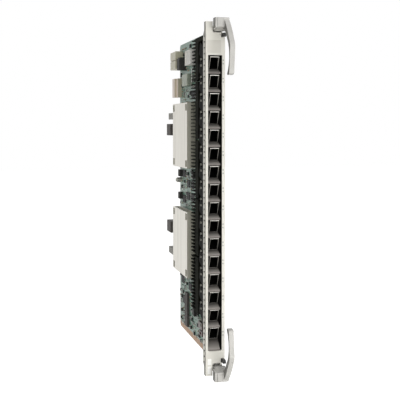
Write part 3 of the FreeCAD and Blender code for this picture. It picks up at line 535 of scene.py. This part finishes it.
def chipTree():
    # a body between two end caps, lying along Y and as tall as X
    tree, given = newTree("chipParts", {"length": "Float", "width": "Float", "height": "Float", "cap": "Float",
                                        "bodyFinish": "Material", "capFinish": "Material"})
    proud = addNode(tree, "ShaderNodeMath", {0: given["height"], 1: 1.04}, operation="MULTIPLY")
    wide = addNode(tree, "ShaderNodeMath", {0: given["width"], 1: 1.03}, operation="MULTIPLY")
    bodySize = addNode(tree, "ShaderNodeCombineXYZ", {"X": given["height"], "Y": given["length"],
                                                      "Z": given["width"]})
    capSize = addNode(tree, "ShaderNodeCombineXYZ", {"X": proud, "Y": given["cap"], "Z": wide})
    body = addNode(tree, "GeometryNodeMeshCube", {"Size": bodySize})
    body = addNode(tree, "GeometryNodeSetMaterial", {"Geometry": body, "Material": given["bodyFinish"]})
    cap = addNode(tree, "GeometryNodeMeshCube", {"Size": capSize})
    cap = addNode(tree, "GeometryNodeSetMaterial", {"Geometry": cap, "Material": given["capFinish"]})
    parts = [body]
    for side in (-0.5, 0.5):
        shift = addNode(tree, "ShaderNodeMath", {0: given["length"], 1: side}, operation="MULTIPLY")
        offset = addNode(tree, "ShaderNodeCombineXYZ", {"Y": shift})
        moved = addNode(tree, "GeometryNodeTransform", {"Geometry": cap, "Translation": offset})
        parts.append(moved)
    joined = addNode(tree, "GeometryNodeJoinGeometry")
    for part in reversed(parts):
        tree.links.new(outputOf(part), joined.inputs["Geometry"])
    return endTree(tree, placeCopies(tree, given["Geometry"], joined, "X"))


def pinTree():
    # round pins or domes standing along X
    tree, given = newTree("pins", {"radius": "Float", "tipRadius": "Float", "length": "Float", "finish": "Material"})
    pin = addNode(tree, "GeometryNodeMeshCone", {"Vertices": 10, "Radius Bottom": given["radius"],
                                                 "Radius Top": given["tipRadius"], "Depth": given["length"]})
    laid = addNode(tree, "GeometryNodeTransform", {"Geometry": pin, "Rotation": (0, math.pi / 2, 0)})
    copies = placeCopies(tree, given["Geometry"], laid, "X")
    done = addNode(tree, "GeometryNodeSetMaterial", {"Geometry": copies, "Material": given["finish"]})
    return endTree(tree, done)


def ribbonTree():
    # a sheet-metal strip: the profile of a curve in the XY plane, given a width and a thickness
    tree, given = newTree("ribbon", {"profile": "Object", "width": "Float", "thickness": "Float",
                                     "finish": "Material"})
    info = addNode(tree, "GeometryNodeObjectInfo", {"Object": given["profile"]}).outputs["Geometry"]
    section = addNode(tree, "GeometryNodeCurvePrimitiveQuadrilateral",
                      {"Width": given["thickness"], "Height": given["width"]})
    info = addNode(tree, "GeometryNodeSetCurveNormal", {"Curve": info}, mode="Z_UP")
    strip = addNode(tree, "GeometryNodeCurveToMesh", {"Curve": info, "Profile Curve": section, "Fill Caps": True})
    copies = placeCopies(tree, given["Geometry"], strip, "Z")
    done = addNode(tree, "GeometryNodeSetMaterial", {"Geometry": copies, "Material": given["finish"]})
    return endTree(tree, done)


def springTree():
    # a coil spring along X
    tree, given = newTree("coilSpring", {"radius": "Float", "wire": "Float", "length": "Float", "turns": "Int",
                                         "finish": "Material"})
    coil = addNode(tree, "GeometryNodeCurveSpiral", {"Resolution": 14, "Rotations": given["turns"],
                                                     "Start Radius": given["radius"], "End Radius": given["radius"],
                                                     "Height": given["length"]})
    wire = addNode(tree, "GeometryNodeCurvePrimitiveCircle", {"Resolution": 6, "Radius": given["wire"]})
    tube = addNode(tree, "GeometryNodeCurveToMesh", {"Curve": coil, "Profile Curve": wire, "Fill Caps": True})
    laid = addNode(tree, "GeometryNodeTransform", {"Geometry": tube, "Rotation": (0, math.pi / 2, 0)})
    copies = placeCopies(tree, given["Geometry"], laid, "X")
    done = addNode(tree, "GeometryNodeSetMaterial", {"Geometry": copies, "Material": given["finish"]})
    return endTree(tree, done)


trees = {"chip": chipTree(), "pin": pinTree(), "ribbon": ribbonTree(), "spring": springTree()}


# gasket of sprung fingers on the left flange

gasket = {
    "rows": {
        "gasket_fronts": dict(width=5.05, thickness=0.16, bow=[(0.0, 0.0), (-0.44, 1.0), (-0.6, 2.2), (-0.62, 3.0)]),
        "gasket_fingers": dict(width=6.21, thickness=0.16,
                               bow=[(-0.62, 3.0), (-0.6, 4.3), (-0.40, 5.8), (-0.08, 6.7)]),
    },
    "strips": {
        "gasket_spine": dict(start=0.0, end=0.7, thickness=0.16, finish="springSheet", slot="spring_steel"),
        # painted shade: a black strip under the finger slots stands for the shade seen through them
        "gasket_foam": dict(start=1.0, end=3.1, thickness=0.192, finish="blackMoulding", slot="black_plastic"),
    },
    "pitch": 6.35,
    "corner": 0.3,    # of a strip's thickness
}


def makeGasketStrip(name, strip, low, high):
    # a full-height strip against the flange, from start to end behind the gasket's front edge
    thick = strip["thickness"] * mm

    def build(shape):
        size = Vector((thick, (strip["end"] - strip["start"]) * mm, high.z - low.z))
        centre = Vector((high.x - thick / 2, low.y + (strip["start"] + strip["end"]) / 2 * mm, (low.z + high.z) / 2))
        bmesh.ops.create_cube(shape, size=1, matrix=Matrix.Translation(centre) @ Matrix.Diagonal(size.to_4d()))
        bmesh.ops.bevel(shape, geom=shape.edges[:], offset=gasket["corner"] * thick, segments=2, affect="EDGES")
    keepPiece(pieceFromMesh(name, build, finish[strip["finish"]]), "card", strip["slot"])


def makeGasket():
    # each finger is slotted in front and all but touches the next behind
    low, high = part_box("emi_gasket")
    pitch = gasket["pitch"] * mm
    for name, row in gasket["rows"].items():
        half = row["thickness"] * mm / 2
        points = [((high.x - half, low.y + half, low.z + (i + 0.5) * pitch), 0, 1)
                  for i in range(round((high.z - low.z) / pitch))]
        growRibbons(name, points, dict(row, finish="springSheet", slot="spring_steel", replaced=["emi_gasket"]))
    for name, strip in gasket["strips"].items():
        makeGasketStrip(name, strip, low, high)


makeGasket()
print("gasket")


# small parts on the board

board = dict(step=3.7, clear=0.8, frontMargin=6.0, rearMargin=3.0, lowMargin=9.0, highMargin=5.0, firstY=6.0,
             firstZ=10.0, jitter=0.25, backShare=0.55, sizes=(0.85, 1.15), seed=41)
boardLow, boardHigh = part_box("main_board")


def coveredAreas(front):
    # (y, y, z, z) of all that stands on this face; a node of several solids counts solid by solid
    apart = ("memory_chips", "inductors", "capacitors", "bracket_screws", "host_connectors")
    passed = ("main_board", "front_panel", "emi_gasket", "row_chips", "heat_sink_screws") + apart
    areas = []
    for name in nodes:
        if name in passed:
            continue
        low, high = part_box(name)
        if (front and low.x < boardLow.x - 0.2 * mm) or (not front and high.x > boardHigh.x + 0.2 * mm):
            areas.append((low.y, high.y, low.z, high.z))
    for name in apart:
        areas += solidAreas(name)
    return areas


def solidAreas(name):
    # the (y, y, z, z) of each solid of a node, found by walking its edges
    shape = bmesh.new()
    shape.from_mesh(nodes[name].data)
    bmesh.ops.remove_doubles(shape, verts=shape.verts, dist=0.001 * mm)
    areas, left = [], set(shape.verts)
    while left:
        reached, front = set(), [left.pop()]
        while front:
            vertex = front.pop()
            reached.add(vertex)
            for edge in vertex.link_edges:
                other = edge.other_vert(vertex)
                if other in left:
                    left.remove(other)
                    front.append(other)
        ys = [v.co.y for v in reached]
        zs = [v.co.z for v in reached]
        areas.append((min(ys), max(ys), min(zs), max(zs)))
    shape.free()
    return sorted(areas)


def isFree(areas, y, z, reach):
    inside = (boardLow.y + board["frontMargin"] * mm < y < boardHigh.y - board["rearMargin"] * mm
              and boardLow.z + board["lowMargin"] * mm < z < boardHigh.z - board["highMargin"] * mm)
    return inside and not any(a - reach < y < b + reach and c - reach < z < d + reach for a, b, c, d in areas)


smallParts = {
    "chip_capacitors": dict(length=2.0, width=1.25, height=1.0, cap=0.45, share=0.30, bodyFinish="chipCeramic",
                            capFinish="matteTin", slot="board"),
    "chip_resistors": dict(length=1.6, width=0.85, height=0.5, cap=0.35, share=0.30, bodyFinish="mouldCompound",
                           capFinish="matteTin", slot="board"),
    "power_chips": dict(length=5.2, width=4.6, height=1.2, cap=0.5, share=0.08, bodyFinish="mouldCompound",
                        capFinish="matteTin", slot="chip_package"),
    "tantalum_blocks": dict(length=4.4, width=2.8, height=1.9, cap=0.3, share=0.07, bodyFinish="ferrite",
                            capFinish="matteTin", slot="chip_package"),
}


def scatterParts(front):
    # the widest parts choose their spots first
    areas = coveredAreas(front)
    rng = random.Random(board["seed"] + front)
    side, face = (-1, boardLow.x) if front else (1, boardHigh.x)
    where = "front" if front else "back"
    spots = {name: [] for name in smallParts}
    taken = []
    step = board["step"] * mm
    for name, part in sorted(smallParts.items(), key=lambda pair: -pair[1]["length"]):
        reach = (part["length"] / 2 + board["clear"]) * mm
        share = part["share"] * (1.0 if front else board["backShare"])
        z = boardLow.z + board["firstZ"] * mm
        while z < boardHigh.z:
            y = boardLow.y + board["firstY"] * mm
            while y < boardHigh.y:
                wanted = rng.random() < share
                turn = rng.choice((0, math.pi / 2))
                size = rng.uniform(*board["sizes"])
                spotY = y + rng.uniform(-board["jitter"], board["jitter"]) * step
                if wanted and isFree(areas + taken, spotY, z, reach):
                    height = part["height"] * size * mm
                    spots[name].append(((face + side * height / 2, spotY, z), turn, size))
                    taken.append((spotY - reach, spotY + reach, z - reach, z + reach))
                y += step
            z += step
    for name, part in smallParts.items():
        growPiece(f"{name}_{where}", trees["chip"], spots[name], part)
        print(name, where, len(spots[name]))


scatterParts(True)
scatterParts(False)


# leads of the flat chips

chipLeads = dict(pitch=1.1, width=0.42, thickness=0.16, rise=0.72, endMargin=1.2, folded=True,
                 bow=[(0, 0), (0.0, 0.35), (0.62, 0.55), (0.68, 1.0)], finish="matteTin", slot="screw_steel")


def makeLeads():
    # gull-wing leads along the front and the rear edge of each flat chip
    pitch = chipLeads["pitch"] * mm
    top = boardLow.x - chipLeads["rise"] * mm
    rows = {"chip_leads_rear": (1, []), "chip_leads_front": (-1, [])}
    for frontY, rearY, lowZ, highZ in solidAreas("memory_chips"):
        count = int((highZ - lowZ - chipLeads["endMargin"] * mm) / pitch) + 1
        start = (lowZ + highZ - (count - 1) * pitch) / 2
        for i in range(count):
            rows["chip_leads_rear"][1].append(((top, rearY, start + i * pitch), 0, 1))
            rows["chip_leads_front"][1].append(((top, frontY, start + i * pitch), 0, 1))
    for name, (side, points) in rows.items():
        growRibbons(name, points, dict(chipLeads, bow=[(x, side * y) for x, y in chipLeads["bow"]]))


makeLeads()
print("chip leads")


# pins through the board, seen on its solder side

tails = dict(
    radius=0.32, tipRadius=0.14, length=1.1, finish="matteTin", slot="screw_steel",
    # rows across a port as shares of its bore, then first depth, step and number along it, and size
    ports=[dict(rows=(0.12, 0.88), first=14, step=4.16, count=8, size=1),
           dict(rows=(0.3, 0.42, 0.58, 0.7), first=38, step=1.6, count=5, size=0.6)],
    connectors=("power_connector", "signal_connector", "upper_guide_module", "lower_guide_module",
                "upper_key_block", "lower_key_block", "connector_strip"),
    lowMargin=1.6, highMargin=1.2, frontMargin=2.0, stepY=3.36, stepZ=2.4, connectorSize=0.8)


def makeTails():
    points = []
    x = boardHigh.x + tails["length"] * mm / 2
    for lip in lips:
        for group in tails["ports"]:
            for row in group["rows"]:
                for k in range(group["count"]):
                    depth = (group["first"] + k * group["step"]) * mm
                    spot = lip + port["axis"] * depth - port["up"] * port["bore"] * row
                    if boardLow.y < spot.y < boardHigh.y:
                        points.append(((x, spot.y, spot.z), 0, group["size"]))
    for name in tails["connectors"]:
        low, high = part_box(name)
        z = low.z + tails["lowMargin"] * mm
        while z < high.z - tails["highMargin"] * mm:
            y = low.y + tails["frontMargin"] * mm
            while y < min(high.y, boardHigh.y) - tails["highMargin"] * mm:
                points.append(((x, y, z), 0, tails["connectorSize"]))
                y += tails["stepY"] * mm
            z += tails["stepZ"] * mm
    growPiece("pin_tails", trees["pin"], points, tails)
    print("pin tails", len(points))


makeTails()


# sprung tabs on the cages' sides, two to a port

cageTabs = dict(width=2.4, thickness=0.3, bow=[(0.0, -1.8), (-0.9, -1.2), (-1.5, 0.0), (-1.0, 1.2), (-0.3, 1.8)],
                depth=38.0, rises=(0.8, -6.4), sunk=0.1, finish="shadedSpring", slot="cage_steel")


def makeCageTabs():
    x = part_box("port_cage_02")[0].x + port["collar"] + cageTabs["sunk"] * mm
    points = [((x, lip.y + cageTabs["depth"] * mm, lip.z + rise * mm), 0, 1)
              for lip in lips for rise in cageTabs["rises"]]
    growRibbons("cage_spring_tabs", points, cageTabs)


makeCageTabs()
print("cage tabs")


# coil springs under the heat sink screws

spring = dict(radius=2.45, wire=0.28, turns=4, length=3.6, start=1.4, finish="turnedSteel", slot="screw_steel")


def makeSprings():
    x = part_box("heat_sink_screws")[0].x + spring["start"] * mm
    points = [((x, (frontY + rearY) / 2, (lowZ + highZ) / 2), 0, 1)
              for frontY, rearY, lowZ, highZ in solidAreas("heat_sink_screws")]
    growPiece("screw_springs", trees["spring"], points, spring)


makeSprings()
print("springs")


# blank field and labels on the panel

plates = {
    "name_field": dict(x=(1.9, 17.6), z=(359.0, 373.0), thick=0.06, corner=0.5, finish="blankField"),
    "lower_label": dict(x=(2.4, 6.8), z=(2.2, 10.6), thick=0.10, corner=0.5, finish="filmLabel"),
    "middle_label": dict(x=(2.4, 6.8), z=(12.4, 19.2), thick=0.10, corner=0.5, finish="filmLabel"),
}


def makePlate(name, plate):
    # measured from the panel's lower left corner, with round corners
    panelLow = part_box("front_panel")[0]
    left, right = (panelLow.x + v * mm for v in plate["x"])
    bottom, top = (panelLow.z + v * mm for v in plate["z"])
    thick = plate["thick"] * mm

    def build(shape):
        centre = Vector(((left + right) / 2, panelLow.y - thick / 2, (bottom + top) / 2))
        size = Vector((right - left, thick, top - bottom))
        bmesh.ops.create_cube(shape, size=1, matrix=Matrix.Translation(centre) @ Matrix.Diagonal(size.to_4d()))
        corners = [e for e in shape.edges if abs(e.verts[0].co.y - e.verts[1].co.y) > thick / 2]
        bmesh.ops.bevel(shape, geom=corners, offset=plate["corner"] * mm, segments=4, affect="EDGES", profile=0.5)
    keepPiece(pieceFromMesh(name, build, finish[plate["finish"]]), "card", "panel_paint")


for name, plate in plates.items():
    makePlate(name, plate)
print("plates")


# levers and catches with their cast and moulded edges rounded

roundings = {
    "lower_lever": dict(radius=0.55, segments=3, finish="castLacquer", slot="lever_paint"),
    "upper_lever": dict(radius=0.55, segments=3, finish="castLacquer", slot="lever_paint"),
    "lower_latch": dict(radius=0.3, segments=2, finish="acetal", slot="latch_plastic"),
    "upper_latch": dict(radius=0.3, segments=2, finish="acetal", slot="latch_plastic"),
}
creases = dict(weld=0.002, flat=1.5, roundFrom=35, sharpFrom=38)    # mm, then degrees


def roundCopy(name, rounding):
    mesh = nodes[name].data.copy()
    shape = bmesh.new()
    shape.from_mesh(mesh)
    bmesh.ops.remove_doubles(shape, verts=shape.verts, dist=creases["weld"] * mm)
    bmesh.ops.dissolve_limit(shape, angle_limit=math.radians(creases["flat"]), verts=shape.verts, edges=shape.edges)
    shape.to_mesh(mesh)
    shape.free()
    mesh.materials.clear()
    mesh.materials.append(finish[rounding["finish"]])
    piece = addObject(name + "_rounded", mesh)
    bevel = piece.modifiers.new("edges", "BEVEL")
    bevel.width = rounding["radius"] * mm
    bevel.segments = rounding["segments"]
    bevel.limit_method = "ANGLE"
    bevel.angle_limit = math.radians(creases["roundFrom"])
    bakeModifiers(piece)
    for face in piece.data.polygons:
        face.use_smooth = True
    piece.data.set_sharp_from_angle(angle=math.radians(creases["sharpFrom"]))
    keepPiece(piece, name, rounding["slot"], name)


for name, rounding in roundings.items():
    roundCopy(name, rounding)
print("rounded levers and catches")


# contacts of the rear connectors

contacts = {
    "power_blades": dict(node="power_connector", across=(3.4, 7.8), behind=6.5, low=3.4, high=3.0, pitch=3.6,
                         wall=2.2, length=7.0, width=2.6, height=0.5, cap=0.6),
    "signal_pins": dict(node="signal_connector", across=(2.8, 6.0), behind=3.4, low=2.5, high=3.0, pitch=3.4,
                        wall=0.0, length=4.0, width=0.6, height=0.6, cap=0.4),
}


def makeContacts(name, contact):
    # columns up the connector's face, passing the wall in its middle if it has one
    low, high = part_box(contact["node"])
    y = high.y - contact["behind"] * mm
    points = []
    for across in contact["across"]:
        z = low.z + contact["low"] * mm
        while z < high.z - contact["high"] * mm:
            if abs(z - (low.z + high.z) / 2) > contact["wall"] * mm:
                points.append(((low.x + across * mm, y, z), 0, 1))
            z += contact["pitch"] * mm
    growPiece(name, trees["chip"], points,
              dict(contact, bodyFinish="goldFlash", capFinish="goldFlash", slot="screw_steel"))


for name, contact in contacts.items():
    makeContacts(name, contact)
print("contacts")


# floor, lights, camera

stageLook = dict(floorDrop=110, floorReach=6.0, floorColour="#E4E3E0", floorGlow=0.8, worldWhite=1.0, worldSoft=0.42)


def makeFloor():
    # well below the card, so that the lower lever clears it when it is swung open
    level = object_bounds()[0][2] - stageLook["floorDrop"] * mm
    reach = stageLook["floorReach"]
    mesh = bpy.data.meshes.new("floor")
    mesh.from_pydata([(-reach, -reach, level), (reach, -reach, level), (reach, reach, level),
                      (-reach, reach, level)], [], [(0, 1, 2, 3)])
    material = bpy.data.materials.new("paleFloor")
    material.use_nodes = True
    tree = material.node_tree
    tree.nodes.clear()
    rays = addNode(tree, "ShaderNodeLightPath").outputs
    shown = addNode(tree, "ShaderNodeMath", {0: rays["Is Camera Ray"], 1: rays["Is Glossy Ray"]}, operation="MAXIMUM")
    plain = addNode(tree, "ShaderNodeBsdfDiffuse", {"Color": stageLook["floorColour"]})
    glow = addNode(tree, "ShaderNodeEmission", {"Color": "#FFFFFF", "Strength": stageLook["floorGlow"]})
    lit = addNode(tree, "ShaderNodeAddShader", {0: plain, 1: glow})
    mixed = addNode(tree, "ShaderNodeMixShader", {"Fac": shown, 1: plain, 2: lit})
    addNode(tree, "ShaderNodeOutputMaterial", {"Surface": mixed})
    mesh.materials.append(material)
    addObject("floor", mesh)


def makeWorld():
    # plain white to the camera and in reflections, a soft cool fill to everything else
    world = bpy.data.worlds.new("studio")
    bpy.context.scene.world = world
    world.use_nodes = True
    tree = world.node_tree
    tree.nodes.clear()
    rays = addNode(tree, "ShaderNodeLightPath").outputs
    seen = addNode(tree, "ShaderNodeMath", {0: rays["Is Camera Ray"], 1: rays["Is Transmission Ray"]},
                   operation="MAXIMUM")
    seen = addNode(tree, "ShaderNodeMath", {0: seen, 1: rays["Is Glossy Ray"]}, operation="MAXIMUM")
    white = addNode(tree, "ShaderNodeBackground", {"Color": "#FFFFFF", "Strength": stageLook["worldWhite"]})
    soft = addNode(tree, "ShaderNodeBackground", {"Color": (0.98, 0.99, 1, 1), "Strength": stageLook["worldSoft"]})
    mixed = addNode(tree, "ShaderNodeMixShader", {"Fac": seen, 1: soft, 2: white})
    addNode(tree, "ShaderNodeOutputWorld", {"Surface": mixed})


lamps = {
    "key": dict(place=(0.12, -1.5, 0.25), aim=(0, 0, 0.15), size=1.1, power=13.4),
    "fill": dict(place=(-0.9, -1.0, 0.1), aim=(0, 0, 0.15), size=0.8, power=1.5),
    "top": dict(place=(0.0, -0.2, 1.4), aim=(0, 0.05, 0.2), size=0.9, power=3.0),
    "low": dict(place=(0.1, -0.55, -0.05), aim=(0.01, 0, 0.03), size=0.3, power=0.9),
}


def makeLamp(name, lamp):
    light = bpy.data.lights.new(name, "AREA")
    light.shape = "DISK"
    light.size = lamp["size"]
    light.energy = lamp["power"]
    holder = addObject(name, light)
    holder.location = lamp["place"]
    aim = Vector(lamp["aim"]) - Vector(lamp["place"])
    holder.rotation_euler = aim.to_track_quat("-Z", "Y").to_euler()


view = dict(place=(-0.2320, -0.8013, 0.2701), right=14.61, down=2.80, lens=67.78, shift=-0.09)


def makeCamera():
    camera = bpy.data.cameras.new("camera")
    camera.lens = view["lens"]
    camera.sensor_width = 36
    camera.shift_y = view["shift"]
    camera.clip_start = 0.01
    holder = addObject("camera", camera)
    holder.location = view["place"]
    holder.rotation_euler = (math.radians(90 - view["down"]), 0, -math.radians(view["right"]))
    bpy.context.scene.camera = holder


makeFloor()
makeWorld()
for name, lamp in lamps.items():
    makeLamp(name, lamp)
makeCamera()
bpy.context.scene.view_settings.view_transform = "Standard"
print("stage")
